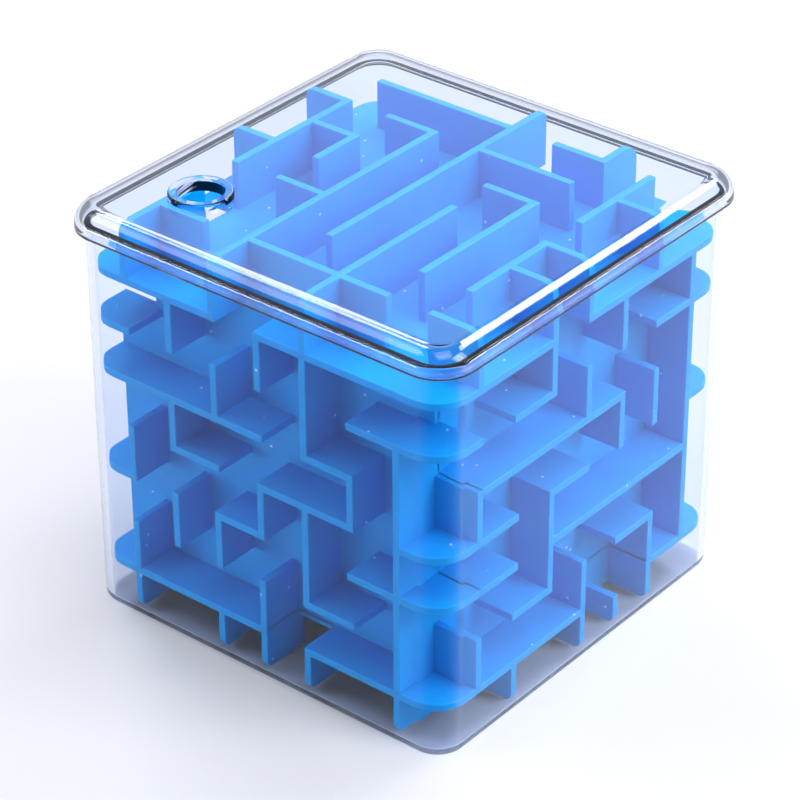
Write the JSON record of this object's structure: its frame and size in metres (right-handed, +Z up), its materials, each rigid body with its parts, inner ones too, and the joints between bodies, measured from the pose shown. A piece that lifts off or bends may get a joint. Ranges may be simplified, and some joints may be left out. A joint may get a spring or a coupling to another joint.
{
  "type": "tilt maze game",
  "caption": "Clear square case with a push-fit lid around a raised-wall maze core; a steel ball is tilted through the corridors on every face.",
  "frame": {"origin": "centre of the case's underside, on the surface that it stands on", "axes": "+Z up towards the lid, -Y out of the front face, +X out of the right face"},
  "size_m": [0.081, 0.081, 0.0782],
  "materials": {
    "case_clear": "clear injection-moulded polystyrene, polished",
    "lid_clear": "clear injection-moulded polystyrene, polished",
    "maze_blue": "glossy, slightly translucent injection-moulded blue plastic",
    "ball_steel": "polished bearing steel"
  },
  "bodies": {
    "case": {"clear_case": "case_clear", "maze_top": "maze_blue", "maze_bottom": "maze_blue", "maze_front": "maze_blue", "maze_back": "maze_blue", "maze_left": "maze_blue", "maze_right": "maze_blue"},
    "lid": {"clear_lid": "lid_clear"},
    "ball": {"steel_ball": "ball_steel"}
  },
  "joints": [
    {"name": "lid_lift", "type": "slide", "parent": "case", "child": "lid", "axis": [0, 0, 1], "range_m": [0, 0.05]},
    {"name": "ball_roll", "type": "slide", "parent": "case", "child": "ball", "axis": [1, 0, 0], "range_m": [-0.0103, 0.0103]}
  ]
}
